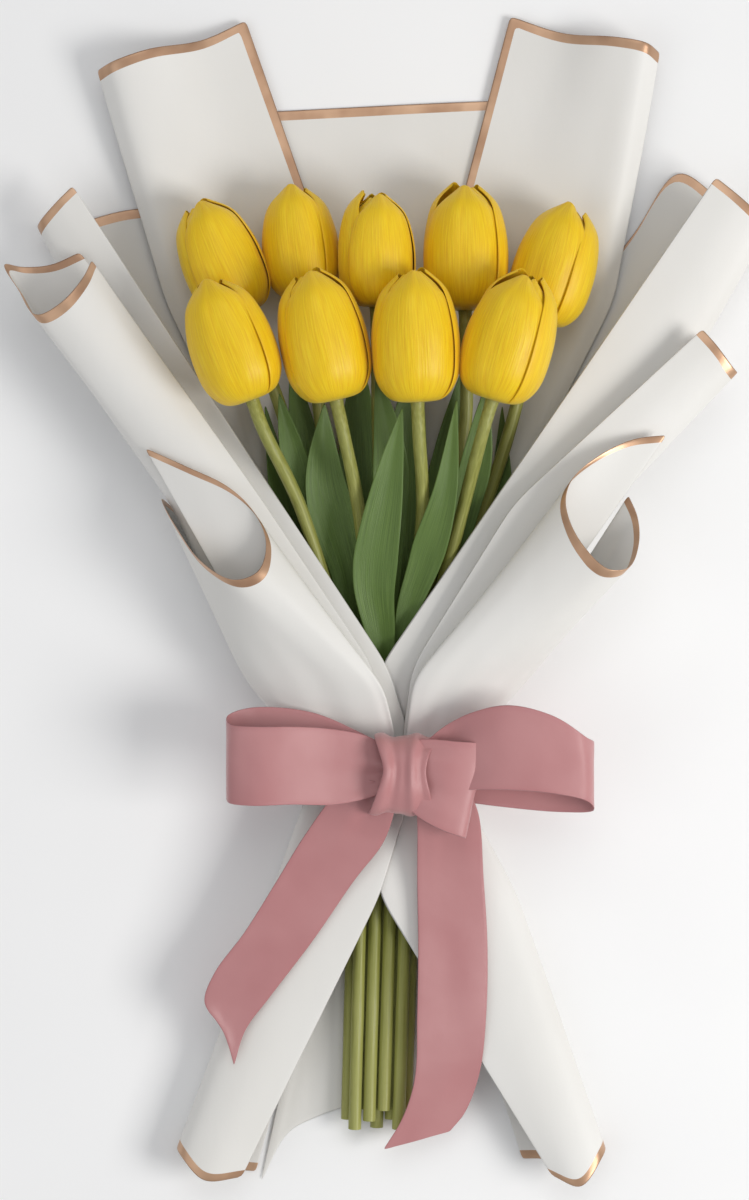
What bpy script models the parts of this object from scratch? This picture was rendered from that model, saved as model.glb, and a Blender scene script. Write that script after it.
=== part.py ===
"""A wrapped bunch of nine cut tulips, lying on its back on a flat surface.

Axes: +X to the right, +Y from the cut stem ends towards the blooms, +Z up, so that the
front of the bunch faces +Z. Every length below is in millimetres and is measured from the
tie: the point on the surface straight under the ribbon's knot. frame_empty then moves the
whole bunch so that the origin is the centre of its bounding box, on the surface.
"""

import math

import bmesh
import bpy
from mathutils import Matrix, Vector

MM = 0.001

# The tie in the finished frame: the bounding box is centred on the origin.
TIE_AT = (-1.23, -78.5, 0.0)

PAPER = 0.6  # a sheet's solid thickness
RIBBON = 0.8
PETAL = 0.9
LEAF = 0.9
STEM_RADIUS = 3.1
STEM_SIDES = 7

BLOOM_HEIGHT = 63.0
BLOOM_RADIUS = 20.5

# ---------------------------------------------------------------------------- materials


def material(name, colour, roughness):
    made = bpy.data.materials.new(name)
    made.use_nodes = True
    shader = made.node_tree.nodes["Principled BSDF"]
    shader.inputs["Base Color"].default_value = (*colour, 1.0)
    shader.inputs["Roughness"].default_value = roughness
    shader.inputs["Metallic"].default_value = 0.0
    return made


# ------------------------------------------------------------------------------- curves


def curve_through(points, per_segment):
    """A centripetal Catmull-Rom curve through the points, per_segment steps in each span."""
    points = [Vector(p) for p in points]
    ends = [2 * points[0] - points[1], *points, 2 * points[-1] - points[-2]]
    found = []
    for a, b, c, d in zip(ends, ends[1:], ends[2:], ends[3:]):
        knots = [0.0]
        for p, q in ((a, b), (b, c), (c, d)):
            knots.append(knots[-1] + max((q - p).length, 1e-6) ** 0.5)
        k0, k1, k2, k3 = knots
        for step in range(per_segment):
            k = k1 + (k2 - k1) * step / per_segment
            ab = a.lerp(b, (k - k0) / (k1 - k0))
            bc = b.lerp(c, (k - k1) / (k2 - k1))
            cd = c.lerp(d, (k - k2) / (k3 - k2))
            abc = ab.lerp(bc, (k - k0) / (k2 - k0))
            bcd = bc.lerp(cd, (k - k1) / (k3 - k1))
            found.append(abc.lerp(bcd, (k - k1) / (k2 - k1)))
    return [*found, points[-1]]


def soft_polyline(points, steps, radius):
    """steps[k] samples in each straight run, its corners rounded over about the radius."""
    points = [Vector(p) for p in points]
    lengths = [0.0]
    for p, q in zip(points, points[1:]):
        lengths.append(lengths[-1] + (q - p).length)

    def at(s):
        for i, end in enumerate(lengths[1:]):
            if s <= end or i == len(lengths) - 2:
                run = max(end - lengths[i], 1e-9)
                return points[i].lerp(points[i + 1], (s - lengths[i]) / run)

    found = []
    for i, count in enumerate(steps):
        for step in range(count + (i == len(steps) - 1)):
            s = lengths[i] + (lengths[i + 1] - lengths[i]) * step / count
            reach = min(radius, s, lengths[-1] - s)
            near = [at(s + reach * k / 4) for k in range(-4, 5)]
            found.append(sum(near, Vector()) / len(near))
    return found


def loft(rows, per_segment, steps, radius=8.0):
    """A grid of points: a curve across each row, and straight runs from row to row."""
    curves = [curve_through(row, per_segment) for row in rows]
    columns = [soft_polyline(column, steps, radius) for column in zip(*curves)]
    return [list(row) for row in zip(*columns)]


# ------------------------------------------------------------------------------- solids


def link(name, mesh, paint, parent, smooth=True):
    mesh.materials.append(paint)
    if smooth:
        mesh.shade_smooth()
        mesh.set_sharp_from_angle(angle=math.radians(40))
    made = bpy.data.objects.new(name, mesh)
    bpy.context.scene.collection.objects.link(made)
    made.parent = parent
    return made


def mesh_of(name, points, faces):
    """A mesh from points in millimetres, its faces turned to point outwards."""
    mesh = bpy.data.meshes.new(name)
    mesh.from_pydata([tuple(p * MM) for p in points], [], faces)
    shape = bmesh.new()
    shape.from_mesh(mesh)
    bmesh.ops.recalc_face_normals(shape, faces=shape.faces)
    shape.to_mesh(mesh)
    shape.free()
    return mesh


def heading(before, here, after):
    """The way through a point: the sum of the unit steps to it and from it."""
    return (here - before).normalized() + (after - here).normalized()


def normals_of(grid):
    """The unit normal at each point of a grid."""
    rows, columns = len(grid), len(grid[0])
    found = []
    for j in range(rows):
        line = []
        for i in range(columns):
            here = grid[j][i]
            across = heading(grid[j][max(i - 1, 0)], here, grid[j][min(i + 1, columns - 1)])
            along = heading(grid[max(j - 1, 0)][i], here, grid[min(j + 1, rows - 1)][i])
            line.append(across.cross(along).normalized())
        found.append(line)
    return found


def sheet_mesh(name, grid, thickness):
    """A closed shell: the grid thickened equally to both sides."""
    rows, columns = len(grid), len(grid[0])
    normals = normals_of(grid)
    half = thickness / 2
    points = []
    for side in (half, -half):
        for line, turned in zip(grid, normals):
            points += [p + n * side for p, n in zip(line, turned)]

    def index(side, j, i):
        return side * rows * columns + j * columns + i

    # Both sides are cut along the same diagonal, so they stay one thickness apart.
    faces = []
    for j in range(rows - 1):
        for i in range(columns - 1):
            a, b, c, d = (j, i), (j, i + 1), (j + 1, i + 1), (j + 1, i)
            for corners in ((a, b, c), (a, c, d)):
                faces.append([index(0, *corner) for corner in corners])
                faces.append([index(1, *corner) for corner in reversed(corners)])
    rim = [(0, i) for i in range(columns)]
    rim += [(j, columns - 1) for j in range(1, rows)]
    rim += [(rows - 1, i) for i in range(columns - 2, -1, -1)]
    rim += [(j, 0) for j in range(rows - 2, 0, -1)]
    for a, b in zip(rim, rim[1:] + rim[:1]):
        faces.append([index(0, *a), index(0, *b), index(1, *b), index(1, *a)])
    return mesh_of(name, points, faces)


def tube_mesh(name, path, radii, sides):
    """A closed round bar along a path."""
    points, faces = [], []
    turn = None
    for i, p in enumerate(path):
        ahead = (path[min(i + 1, len(path) - 1)] - path[max(i - 1, 0)]).normalized()
        turn = Vector((0, 0, 1)) if turn is None else turn
        turn = (turn - ahead * turn.dot(ahead)).normalized()
        other = ahead.cross(turn)
        for k in range(sides):
            angle = 2 * math.pi * k / sides
            points.append(p + (turn * math.cos(angle) + other * math.sin(angle)) * radii[i])
    for j in range(len(path) - 1):
        for k in range(sides):
            a, b = j * sides + k, j * sides + (k + 1) % sides
            faces.append([a, b, b + sides, a + sides])
    faces.append(list(range(sides)))
    faces.append([(len(path) - 1) * sides + k for k in range(sides)])
    return mesh_of(name, points, faces)


# ------------------------------------------------------------------------ wrapping paper
# Each sheet is a list of rows from its top rim down to its lower end, and each row runs
# across the sheet from its inner or back edge to its front lip.

BACK_SHEET = [
    [(-62, 313, 0.3), (-25, 315, 0.3), (25, 317.5, 0.3), (62, 319, 0.3)],
    [(-18, 64, 0.3), (-6, 64, 0.3), (6, 64, 0.3), (18, 64, 0.3)],
    [(-13, 12, 1.7), (-5, 12, 1.7), (5, 12, 1.7), (13, 12, 1.7)],
    [(-13, -12, 1.7), (-5, -12, 1.7), (5, -12, 1.7), (13, -12, 1.7)],
    [(-30, -64, 0.3), (-20, -64, 0.3), (-8, -64, 0.3), (6, -64, 0.3)],
    [(-60, -202, 0.3), (-47, -178, 0.3), (-33, -170, 0.3), (-16, -164, 0.3)],
]
LEFT_PANEL = [
    [(-66.7, 357, 3), (-88, 346.5, 8), (-112, 341, 19), (-129, 335, 20), (-137.5, 331.5, 11)],
    [(-19, 220, 1.4), (-50, 220, 1.4), (-80, 221, 1.6), (-97, 221, 6), (-105, 221, 4.4)],
    [(12, 58, 2.2), (2, 58, 2.2), (-10, 58, 2.2), (-20, 58, 4.0), (-26, 58, 3.4)],
    [(10, 12, 2.8), (2, 12, 2.8), (-8, 12, 2.8), (-17, 12, 4.2), (-22, 12, 3.8)],
    [(10, -14, 2.8), (2, -14, 2.8), (-8, -14, 2.8), (-17, -14, 4.2), (-22, -14, 3.8)],
]
RIGHT_PANEL = [
    [(60, 359, 3), (86, 350, 7), (109, 347, 17), (124, 344, 19), (131.5, 340, 11)],
    [(24, 222, 2.4), (55, 222, 2.4), (84, 222, 2.6), (102, 222, 6), (110, 222, 4.4)],
    [(-10, 58, 3.3), (0, 58, 3.3), (12, 58, 3.4), (21, 58, 4.4), (27, 58, 3.6)],
    [(-8, 12, 3.9), (0, 12, 3.9), (9, 12, 3.9), (18, 12, 4.8), (23, 12, 4.2)],
    [(-8, -14, 3.9), (0, -14, 3.9), (9, -14, 3.9), (18, -14, 4.8), (23, -14, 4.2)],
]
LEFT_WRAP = [
    [(-66, 268, 0.3), (-95, 268, 0.3), (-125, 266, 0.6), (-150, 259, 3), (-165, 256, 12),
     (-164.5, 258, 22), (-157, 266, 27), (-148, 275, 27)],
    [(-22, 62, 0.5), (-34, 62, 0.5), (-45, 58, 1.5), (-54, 54, 6), (-58.5, 52, 16),
     (-56, 51, 28), (-38, 49, 36), (2, 47, 38)],
    [(-17, 12, 1.7), (-23, 12, 1.7), (-29, 12, 3), (-34, 12, 7), (-36.5, 12, 13.5),
     (-34, 12, 20.5), (-21, 12, 24.6), (13, 12, 25.4)],
    [(-17, -12, 1.7), (-23, -12, 1.7), (-29, -12, 3), (-34, -12, 7), (-36.5, -12, 13.5),
     (-34, -12, 20.5), (-21, -12, 24.6), (13, -12, 25.4)],
    [(-24, -60, 2), (-33, -60, 2), (-42, -59, 2.4), (-49, -57, 5), (-52, -56, 12),
     (-50, -56, 20), (-36, -57, 26), (-2, -61, 28)],
    [(-62, -196, 1.4), (-72, -195, 1.4), (-83, -192, 2), (-94, -187, 4), (-99, -183, 11),
     (-97, -186, 19), (-86, -197, 23), (-68, -196, 19)],
]
RIGHT_WRAP = [
    [(96, 226, 0.3), (120, 255, 0.3), (141, 284, 0.8), (162, 270, 3), (181, 256, 12),
     (182, 257, 22), (170, 268, 28), (156.5, 279, 28)],
    [(22, 62, 0.5), (34, 62, 0.5), (46, 58, 1.5), (56, 52, 6), (62, 46, 15),
     (59, 45, 27), (40, 46, 34), (-3, 47, 35.4)],
    [(17, 12, 1.7), (23, 12, 1.7), (29, 12, 3), (34, 12, 7), (36.5, 12, 13.5),
     (34, 12, 19.8), (22, 12, 23.4), (-13, 12, 23.8)],
    [(17, -12, 1.7), (23, -12, 1.7), (29, -12, 3), (34, -12, 7), (36.5, -12, 13.5),
     (34, -12, 19.8), (22, -12, 23.4), (-13, -12, 23.8)],
    [(24, -60, 0.5), (34, -60, 0.5), (46, -60, 1.5), (56, -60, 5), (62, -60, 12),
     (59, -60, 20), (42, -60, 25), (-3, -62, 26)],
    [(66, -190, 0.3), (74, -190, 0.3), (86, -191, 1), (98, -189, 4), (105, -183, 11),
     (103, -187, 19), (93, -200, 23), (79, -195, 19)],
]
LEFT_SLEEVE = [
    [(-144, 243, 32), (-158, 237, 31), (-172, 236, 31), (-179.5, 237, 35), (-172, 225, 44),
     (-163, 212, 52), (-151, 217, 57), (-141, 229, 53), (-137.5, 238.5, 43)],
    [(-60, 128, 37.6), (-78, 128, 36.6), (-93, 127, 30), (-101, 126, 22), (-102, 126, 30),
     (-97, 126, 38), (-86, 126, 44), (-72, 126, 46), (-58, 126, 44)],
    [(-26, 50, 38.8), (-40, 50, 37.4), (-58, 48, 29.8), (-63, 46, 19), (-64.5, 45, 27),
     (-60, 45, 34), (-46, 46, 40), (-26, 47, 41.6), (-5, 47, 42)],
    [(-14, 12, 26.6), (-24, 12, 25.6), (-35.6, 12, 21.6), (-39.6, 12, 15), (-39.9, 12, 21.5),
     (-35.5, 12, 25.6), (-25, 12, 28), (-14, 12, 28.7), (-3, 12, 28.9)],
    [(-14, -14, 26.6), (-24, -14, 25.6), (-35.6, -14, 21.6), (-39.6, -14, 15),
     (-39.9, -14, 21.5), (-35.5, -14, 25.6), (-25, -14, 28), (-14, -14, 28.7),
     (-3, -14, 28.9)],
]
RIGHT_SLEEVE = [
    [(151, 203, 33), (157, 197, 32), (163, 190, 32), (166, 186, 34.5), (163, 189, 38.5),
     (156, 198, 41.5), (149, 206, 41)],
    [(66, 122, 37), (80, 121, 36.4), (93, 120, 31.4), (103.1, 119, 29.0), (101, 119, 34.4),
     (82, 121, 41), (60, 124, 42)],
    [(24, 48, 38), (42, 48, 36.2), (61.5, 47, 30.5), (66.1, 45, 20.2), (65, 45, 29),
     (46, 46, 38.6), (12, 47, 41)],
    [(16, 12, 26.4), (25, 12, 24.8), (35.2, 12, 22), (39.8, 12, 15.4), (39.2, 12, 21.4),
     (27, 12, 27.2), (8, 12, 28.8)],
    [(16, -14, 26.4), (25, -14, 24.8), (35.2, -14, 22), (39.8, -14, 15.4), (39.2, -14, 21.4),
     (27, -14, 27.2), (8, -14, 28.8)],
]
LEFT_CUFF = [
    [(-99, 121, 12), (-106, 127, 26), (-98, 113, 45), (-86, 97, 58), (-71, 88, 65),
     (-59, 92, 65), (-55.5, 106, 59), (-62, 121, 55), (-74, 132, 53.5), (-93, 141, 51),
     (-113, 150, 47)],
    [(-60, 42, 12), (-67, 42, 22), (-64, 42, 34), (-48, 42, 43), (-28, 41, 47),
     (-8, 39, 48), (-1, 38, 46.6), (-7, 40, 45), (-22, 42, 44.6), (-40, 42, 43),
     (-52, 42, 39.6)],
    [(-38, 12, 7), (-42, 12, 15), (-41.6, 12, 23), (-34, 12, 29.3), (-18, 12, 31.3),
     (0, 12, 31.7), (5, 12, 31), (0, 12, 30.3), (-12, 12, 30.1), (-25, 12, 29.4),
     (-33, 12, 27.6)],
    [(-38, -14, 7), (-42, -14, 15), (-41.6, -14, 23), (-34, -14, 29.3), (-18, -14, 31.3),
     (0, -14, 31.7), (5, -14, 31), (0, -14, 30.3), (-12, -14, 30.1), (-25, -14, 29.4),
     (-33, -14, 27.6)],
]
RIGHT_CUFF = [
    [(132, 156, 46), (117, 154, 48), (102.5, 147.5, 51), (88, 136, 55), (84, 126, 59),
     (86, 114, 65), (93, 102, 69), (103, 93, 69), (113, 94, 64), (118, 105, 55),
     (118, 118, 46), (114, 128, 43)],
    [(54, 44, 37.4), (44, 44, 41.6), (32, 44, 43.6), (20, 43, 44.2), (13, 42, 45.4),
     (20, 41, 47.4), (34, 41, 47.4), (50, 41, 44), (62, 41, 36), (68, 41, 25),
     (67, 42, 16), (61, 43, 8)],
    [(33, 12, 26.8), (27, 12, 28.7), (20, 12, 29.7), (14, 12, 30), (9.5, 12, 30.7),
     (14, 12, 31.5), (22, 12, 31.3), (33, 12, 29), (40, 12, 24), (42.4, 12, 16),
     (41, 12, 10), (37, 12, 6)],
    [(33, -14, 26.8), (27, -14, 28.7), (20, -14, 29.7), (14, -14, 30), (9.5, -14, 30.7),
     (14, -14, 31.5), (22, -14, 31.3), (33, -14, 29), (40, -14, 24), (42.4, -14, 16),
     (41, -14, 10), (37, -14, 6)],
]
SHEETS = {
    "back_sheet": (BACK_SHEET, (3, 2, 2, 2, 4)),
    "left_back_panel": (LEFT_PANEL, (4, 4, 2, 2)),
    "right_back_panel": (RIGHT_PANEL, (4, 4, 2, 2)),
    "left_wrap": (LEFT_WRAP, (5, 3, 2, 3, 4)),
    "right_wrap": (RIGHT_WRAP, (5, 3, 2, 3, 4)),
    "left_sleeve": (LEFT_SLEEVE, (3, 3, 2, 2)),
    "right_sleeve": (RIGHT_SLEEVE, (3, 3, 2, 2)),
    "left_cuff": (LEFT_CUFF, (4, 3, 2)),
    "right_cuff": (RIGHT_CUFF, (4, 3, 2)),
}


def wrapping(parent):
    paper = material("wrapping_paper", (0.86, 0.85, 0.82), 0.55)
    for name, (rows, steps) in SHEETS.items():
        grid = loft(rows, 1, steps)
        link(name, sheet_mesh(name, grid, PAPER), paper, parent)


# ------------------------------------------------------------------------------- tulips
# Each tulip: where its bloom starts, where its tip points, how far the bloom is turned
# about its own axis, its size against the standard bloom, and its stem's place in the tie.

ROW_LOW, ROW_HIGH = 7.8, 13.9
TULIPS = [
    {"base": (-62, 172, 54.5), "tip": (-83, 229, 60), "turn": 12, "size": 0.96, "slot": -10.8,
     "bend": 6},
    {"base": (-23, 172, 52), "tip": (-37, 234, 57), "turn": -14, "size": 1.0, "slot": -3.6},
    {"base": (15, 171, 54), "tip": (12, 234, 59), "turn": -8, "size": 1.0, "slot": 3.6},
    {"base": (50, 172, 53), "tip": (68, 233, 59), "turn": 20, "size": 1.0, "slot": 10.8},
    {"base": (-67, 214, 26), "tip": (-91, 270, 30), "turn": -20, "size": 0.93, "slot": -14.4},
    {"base": (-37, 222, 21.5), "tip": (-44, 280, 23.5), "turn": 15, "size": 0.87, "slot": -7.2},
    {"base": (-4, 217, 33), "tip": (-5, 279, 37), "turn": -25, "size": 0.88, "slot": 0},
    {"base": (38, 216, 24), "tip": (38, 279, 25), "turn": 5, "size": 0.98, "slot": 7.2},
    {"base": (73, 210, 24), "tip": (90, 266, 26), "turn": 30, "size": 0.94, "slot": 14.4},
]
FRONT_TULIPS = 4  # the first four stand in the upper row, over the other five

# A bloom's half outline from its foot to its tip: radius and height as shares of the whole.
OUTLINE = [(0.16, 0.0), (0.62, 0.03), (0.93, 0.18), (1.0, 0.40), (0.92, 0.62),
           (0.64, 0.84), (0.17, 1.0)]
# Half of a petal's sweep about the axis, in degrees, at the same stations.
SWEEP = [50, 56, 58, 58, 56, 48, 14]
INNER_GAP = 2.0  # from the outer petals' middle surface to the inner petals'
INNER_AROUND, INNER_STATIONS = 9, 6
FOOT_GAP = 0.9  # from the bloom's foot down to the top of the stem


def bloom_frame(tulip):
    """The bloom's placement: its foot at the origin and its tip along +Z."""
    base, tip = Vector(tulip["base"]), Vector(tulip["tip"])
    axis = (tip - base).normalized()
    side = axis.cross(Vector((0, 0, 1))).normalized()
    front = side.cross(axis)
    turn = Matrix((side, front, axis)).transposed().to_4x4()
    return Matrix.Translation(base) @ turn @ Matrix.Rotation(math.radians(tulip["turn"]), 4, "Z")


def bloom_point(angle, share, inset, size):
    """A point on the bloom at that angle; share runs along the outline's stations."""
    place = share * (len(OUTLINE) - 1)
    low = min(int(place), len(OUTLINE) - 2)
    (r0, h0), (r1, h1) = OUTLINE[low], OUTLINE[low + 1]
    part = place - low
    run = Vector(((r1 - r0) * BLOOM_RADIUS, (h1 - h0) * BLOOM_HEIGHT))
    radius = (r0 + (r1 - r0) * part) * BLOOM_RADIUS * size
    height = (h0 + (h1 - h0) * part) * BLOOM_HEIGHT * size
    inward = Vector((-run.y, run.x)).normalized() * inset
    radius, height = max(radius + inward.x, 0.4), height + inward.y
    return Vector((radius * math.cos(angle), radius * math.sin(angle), height))


def outer_petal(name, tulip, number, paint, parent):
    place = bloom_frame(tulip)
    middle = math.radians(90 + 120 * number)
    grid = []
    for station, sweep in enumerate(SWEEP):
        share = station / (len(SWEEP) - 1)
        line = []
        for i in range(5):
            angle = middle + math.radians(sweep) * (i / 2 - 1)
            line.append(place @ bloom_point(angle, share, 0.0, tulip["size"]))
        grid.append(line)
    link(name, sheet_mesh(name, grid, PETAL), paint, parent)


def inner_petals(name, tulip, paint, parent):
    """The three inner petals, closed round each other: a cup with a three-lobed rim."""
    place = bloom_frame(tulip)
    around, stations = INNER_AROUND, INNER_STATIONS
    half = PETAL / 2
    points, faces = [], []
    for inset in (INNER_GAP - half, INNER_GAP + half):
        for j in range(stations):
            for i in range(around):
                angle = 2 * math.pi * i / around
                lobe = 0.5 - 0.5 * math.cos(3 * (angle - math.radians(90)))
                top = 0.84 + 0.10 * lobe
                share = top * j / (stations - 1)
                points.append(place @ bloom_point(angle, share, inset, tulip["size"]))
    layer = around * stations
    for j in range(stations - 1):
        for i in range(around):
            a, b = j * around + i, j * around + (i + 1) % around
            faces.append([a, b, b + around, a + around])
            faces.append([layer + a, layer + a + around, layer + b + around, layer + b])
    top = around * (stations - 1)
    for i in range(around):
        a, b = top + i, top + (i + 1) % around
        faces.append([a, b, layer + b, layer + a])
    faces.append(list(range(around)))
    faces.append([layer + i for i in reversed(range(around))])
    link(name, mesh_of(name, points, faces), paint, parent)


STEM_LEAN = -4.0  # how far the cut ends stand to the left of the tie
STEM_ENDS = (-174, -170, -165)
STEM_SAG = 0.37  # of the rise from the tie to the bloom, at mid stem


def stem(name, tulip, number, paint, parent):
    place = bloom_frame(tulip)
    axis = place.to_3x3() @ Vector((0, 0, 1))
    foot = place.translation - axis * FOOT_GAP
    slot, row = tulip["slot"], ROW_HIGH if number < FRONT_TULIPS else ROW_LOW
    points = [
        (slot * 0.97 + STEM_LEAN, STEM_ENDS[number % 3], row - 2.2),
        (slot, -22, row),
        (slot, 16, row),
        foot - axis * 50 + Vector((tulip.get("bend", 0), -6, -STEM_SAG * (foot.z - row))),
        foot - axis * 14,
        foot,
    ]
    path = curve_through(points, 2)
    radii = [STEM_RADIUS] * (len(path) - 1) + [STEM_RADIUS * 1.15]
    link(name, tube_mesh(name, path, radii, STEM_SIDES), paint, parent)


# A leaf: its middle line from the tie to the tip, its greatest half width, and how far its
# blade is turned about that line, in degrees.
LEAVES = {
    "leaf_1": {"line": [(-20.6, 0, 11), (-34.6, 60, 11), (-47.5, 117, 12), (-57, 171, 16)],
               "half": 9, "lean": 20},
    "leaf_2": {"line": [(-11.4, 44, 14.9), (-17.4, 90, 20.6), (-28.6, 134, 29), (-28.6, 171, 36)],
               "half": 11.5, "lean": 8},
    "leaf_3": {"line": [(0, 14, 17.7), (-2, 60, 29.5), (-5, 88, 38.5), (1, 130, 47),
                        (8, 168, 52)], "half": 11, "lean": -6},
    "leaf_4": {"line": [(7, 30, 21.4), (10, 70, 28.7), (19, 97, 36), (28, 128, 46),
                        (33.5, 172, 50)], "half": 8.5, "lean": -8},
    "leaf_5": {"line": [(22.4, 0, 11), (43, 60, 10.5), (55, 117, 9), (56, 171, 12)],
               "half": 8, "lean": -12},
}


LEAF_ACROSS = (-1, -0.4, 0.4, 1)


def leaf(name, spec, paint, parent):
    line = curve_through(spec["line"], 2)
    lean = math.radians(spec["lean"])
    grid = []
    for i, p in enumerate(line):
        share = i / (len(line) - 1)
        ahead = (line[min(i + 1, len(line) - 1)] - line[max(i - 1, 0)]).normalized()
        flat = ahead.cross(Vector((0, 0, 1))).normalized()
        across = Matrix.Rotation(lean, 3, ahead) @ flat
        rise = across.cross(ahead)
        half = spec["half"] * (0.3 + 1.25 * share) if share < 0.56 else spec["half"]
        half *= 1 - max(0.0, (share - 0.5) / 0.5) ** 1.7 * 0.94
        cup = 0.22 * half
        grid.append([p + across * half * s + rise * cup * (s * s) for s in LEAF_ACROSS])
    link(name, sheet_mesh(name, grid, LEAF), paint, parent)


def flowers(parent):
    petal_paint = material("petal", (0.86, 0.62, 0.02), 0.5)
    stem_paint = material("stem", (0.36, 0.42, 0.12), 0.5)
    leaf_paint = material("leaf", (0.16, 0.28, 0.07), 0.5)
    for number, tulip in enumerate(TULIPS):
        name = f"tulip_{number + 1}"
        for petal in range(3):
            outer_petal(f"{name}_petal_{petal + 1}", tulip, petal, petal_paint, parent)
        inner_petals(f"{name}_inner_petals", tulip, petal_paint, parent)
        stem(f"{name}_stem", tulip, number, stem_paint, parent)
    for name, spec in LEAVES.items():
        leaf(name, spec, leaf_paint, parent)


# ------------------------------------------------------------------------------- ribbon

BAND_FROM, BAND_TO = -18.0, 8.0  # the turn is drawn in a little at the knot
# The turn's section round the gathered paper, in X and Z.
BAND = [(-12, 0.6), (12, 0.6), (31, 1.0), (43, 7.5), (45.4, 16), (43.8, 24.8), (35, 31.4),
        (15, 33.8), (-10, 33.8), (-35.5, 31.4), (-44, 24.8), (-45.4, 16), (-43, 7.5),
        (-31, 1.0)]


def band_mesh():
    """The ribbon's closed turn round the tie."""
    half = RIBBON / 2
    middle = Vector((0, 18))
    points, faces = [], []
    count = len(BAND)
    for side in (half, -half):
        for y in (BAND_FROM, BAND_TO):
            for x, z in BAND:
                out = (Vector((x, z)) - middle).normalized() * side
                points.append(Vector((x + out.x, y, z + out.y)))
    for i in range(count):
        k = (i + 1) % count
        faces.append([i, k, count + k, count + i])
        faces.append([2 * count + i, 3 * count + i, 3 * count + k, 2 * count + k])
        faces.append([i, 2 * count + i, 2 * count + k, k])
        faces.append([count + i, count + k, 3 * count + k, 3 * count + i])
    return mesh_of("band", points, faces)


# Each strip of the bow: pairs of points, the ribbon's upper and lower edge, along its run.
LEFT_LOOP = [
    ((-4, 14, 47), (-2, -16, 47)), ((-24, 18, 50), (-24, -17, 50)),
    ((-40, 19, 59), (-42, -16.5, 60)), ((-60, 20, 61), (-60, -17, 62)),
    ((-72.5, 20.5, 55), (-73, -16, 56)), ((-72.5, 25, 46), (-73, -12, 46)),
    ((-58, 27.5, 41), (-60, -10, 41)), ((-30, 25, 41.6), (-34, -12, 41.6)),
    ((-6, 16, 43), (-6, -12, 43)),
]
RIGHT_LOOP = [
    ((14, 15, 47), (14, -16, 47)), ((34, 24, 52), (32, -11, 50)),
    ((55, 29.5, 61), (50, -10, 60)), ((78, 24, 63), (76, -12, 63)),
    ((93, 14.5, 58), (94, -16, 58)), ((96, 12, 49), (96, -20, 49)),
    ((84, 14, 42.6), (82, -21, 42.6)), ((56, 18, 41.6), (54, -18, 41.6)),
    ((22, 14, 43), (22, -16, 43)),
]
LEFT_TAIL = [
    ((4, -6, 50), (-14, -4, 49)), ((3, -22, 45), (-28, -16, 44)),
    ((-12, -50, 34), (-44, -36, 34)), ((-34, -78, 30.5), (-64, -68, 30.5)),
    ((-56, -106, 28.5), (-82, -94, 28)), ((-66, -124, 27.5), (-86, -112, 27)),
    ((-71.5, -141, 27), (-75, -124, 26)),
]
RIGHT_TAIL = [
    ((14, -8, 50), (36, -8, 49)), ((16, -28, 43), (44, -20, 42)),
    ((15, -54, 33), (46, -50, 33)), ((15.5, -86, 30), (48.5, -84, 30)),
    ((14, -118, 27), (47, -118, 27)), ((12, -150, 23), (46, -144, 22)),
    ((4, -172, 20), (38, -168, 15)), ((-1, -183, 19), (20, -178, 14)),
]
KNOT_AT = (10, -2, 44)
KNOT_HALF = (17, 16, 12.6)


def knot_mesh():
    """The wound centre of the bow, a squared pebble that the loops and tails run into."""
    points, faces = [], []
    rings, around = 5, 12
    for j in range(rings):
        height = -1 + 2 * (j + 0.5) / rings
        wide = (1 - abs(height) ** 3) ** (1 / 3)
        for i in range(around):
            angle = 2 * math.pi * i / around
            c, s = math.cos(angle), math.sin(angle)
            round_off = (abs(c) ** 3 + abs(s) ** 3) ** (-1 / 3)
            local = Vector((c * wide * round_off * KNOT_HALF[0], s * wide * round_off * KNOT_HALF[1],
                            height * KNOT_HALF[2]))
            points.append(Vector(KNOT_AT) + local)
    for j in range(rings - 1):
        for i in range(around):
            a, b = j * around + i, j * around + (i + 1) % around
            faces.append([a, b, b + around, a + around])
    faces.append(list(range(around)))
    faces.append([(rings - 1) * around + i for i in range(around)])
    return mesh_of("knot", points, faces)


def strip_mesh(name, pairs):
    upper = curve_through([p for p, _ in pairs], 2)
    lower = curve_through([q for _, q in pairs], 2)
    grid = [[a, b] for a, b in zip(upper, lower)]
    return sheet_mesh(name, grid, RIBBON)


def bow(parent):
    """One ribbon: its turn round the tie, two loops, two tails and the knot, made one body."""
    satin = material("satin_ribbon", (0.72, 0.38, 0.39), 0.35)
    ribbon = link("ribbon_bow", knot_mesh(), satin, parent)
    strips = {"left_loop": LEFT_LOOP, "right_loop": RIGHT_LOOP,
              "left_tail": LEFT_TAIL, "right_tail": RIGHT_TAIL}
    meshes = [band_mesh()] + [strip_mesh(name, pairs) for name, pairs in strips.items()]
    for mesh in meshes:
        other = link(f"{mesh.name}_of_bow", mesh, satin, parent)
        other.hide_render = True
        other.display_type = "WIRE"
        join = ribbon.modifiers.new(mesh.name, "BOOLEAN")
        join.operation = "UNION"
        join.object = other


# ------------------------------------------------------------------------------- build


def frame_empty():
    empty = bpy.data.objects.new("bouquet", None)
    empty.location = [x * MM for x in TIE_AT]
    bpy.context.scene.collection.objects.link(empty)
    return empty


def main():
    for old in list(bpy.data.objects):
        bpy.data.objects.remove(old)
    bouquet = frame_empty()
    wrapping(bouquet)
    flowers(bouquet)
    bow(bouquet)


main()
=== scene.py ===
"""Looks for the wrapped bunch of nine tulips: fine paper, petals, stems, leaves and ribbon.

Lengths are in millimetres from the tie, the point on the floor straight under the knot, and
TIE_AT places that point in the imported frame. +Y runs to the blooms and +Z to the camera.
"""
import math

import bmesh
import bpy
from mathutils import Matrix, Vector, noise


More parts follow.
